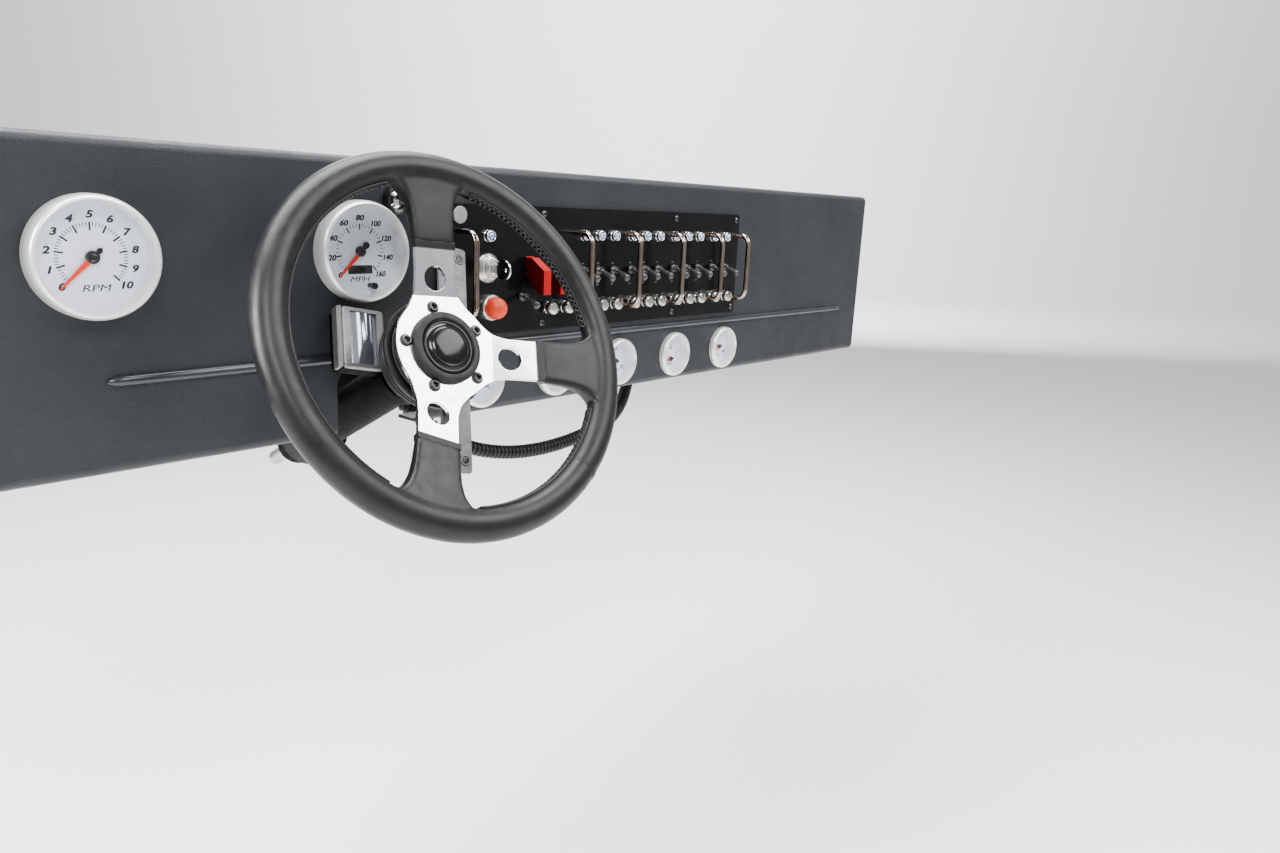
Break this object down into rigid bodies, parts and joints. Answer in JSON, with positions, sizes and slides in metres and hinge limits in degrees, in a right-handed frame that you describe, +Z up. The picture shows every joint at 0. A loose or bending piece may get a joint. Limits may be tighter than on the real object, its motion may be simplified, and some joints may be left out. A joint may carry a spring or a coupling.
{
  "type": "vehicle dashboard with steering wheel",
  "caption": "Bent-sheet off-road dashboard with round gauges, a guarded switch panel and a dished steering wheel on a tilted column; it bolts to a frame by its rear flanges.",
  "frame": {"origin": "centre of the rectangle of four bolt holes in the dash's rear flanges, on the rear plane", "axes": "+X to the driver's right along the dash, +Y forward and away from the driver, +Z up"},
  "size_m": [1.304, 0.4467, 0.3434],
  "materials": {
    "dash_paint": "fine wrinkle, satin",
    "frame_black": "satin",
    "steel": "turned",
    "bezel_silver": "satin",
    "dial_white": "matte",
    "needle_red": "gloss",
    "gauge_glass": "clear",
    "black_plastic": "satin",
    "lamp_chrome": "polished",
    "panel_black": "smooth satin",
    "guard_chrome": "polished",
    "toggle_black": "gloss",
    "cover_red": "gloss",
    "bright_chrome": "polished",
    "jewel_blue": "gloss",
    "breaker_clear": "gloss",
    "push_red": "satin gloss",
    "pod_silver": "satin",
    "pod_smoke": "smoked gloss",
    "loom_black": "satin",
    "boot_rubber": "matte",
    "bar_grey": "satin",
    "spoke_aluminium": "polished",
    "rim_leather": "worn satin",
    "ring_rubber": "matte",
    "cap_gloss": "gloss"
  },
  "bodies": {
    "dash": {"dash_panel": "dash_paint", "cross_rail": "frame_black", "big_gauge_cases": "bezel_silver", "big_gauge_dials": "dial_white", "big_gauge_needles": "needle_red", "big_gauge_glasses": "gauge_glass", "small_gauge_cases": "bezel_silver", "small_gauge_dials": "dial_white", "small_gauge_needles": "needle_red", "small_gauge_glasses": "gauge_glass", "lamp_ring": "black_plastic", "lamp_lens": "lamp_chrome", "switch_panel": "panel_black", "guard_bars": "guard_chrome", "toggle_bushings": "toggle_black", "toggle_levers": "toggle_black", "safety_covers": "cover_red", "indicator_bezels": "bright_chrome", "indicator_jewels": "jewel_blue", "breaker_collars": "bright_chrome", "breaker_buttons": "breaker_clear", "ignition_lock": "bright_chrome", "ignition_key": "bright_chrome", "push_bezel": "bright_chrome", "push_button": "push_red", "panel_plug": "bezel_silver", "column_jacket": "frame_black", "column_bearings": "steel", "column_hanger": "frame_black", "pod_housing": "black_plastic", "pod_frame": "pod_silver", "pod_lens": "pod_smoke", "wiring_loom": "loom_black", "loom_glands": "black_plastic"},
    "wheel": {"steering_shaft": "steel", "hub_adaptor": "frame_black", "hub_boot": "boot_rubber", "hub_spacer": "frame_black", "rear_bar": "bar_grey", "spoke_plate": "spoke_aluminium", "wheel_rim": "rim_leather", "horn_ring": "ring_rubber", "horn_cap": "cap_gloss"}
  },
  "joints": [
    {"name": "steering", "type": "hinge", "parent": "dash", "child": "wheel", "pos_m": [-0.31097, -0.30704, -0.02327], "axis": [-0.0767, -0.8884, 0.4527], "range_deg": [-615, 465]}
  ]
}
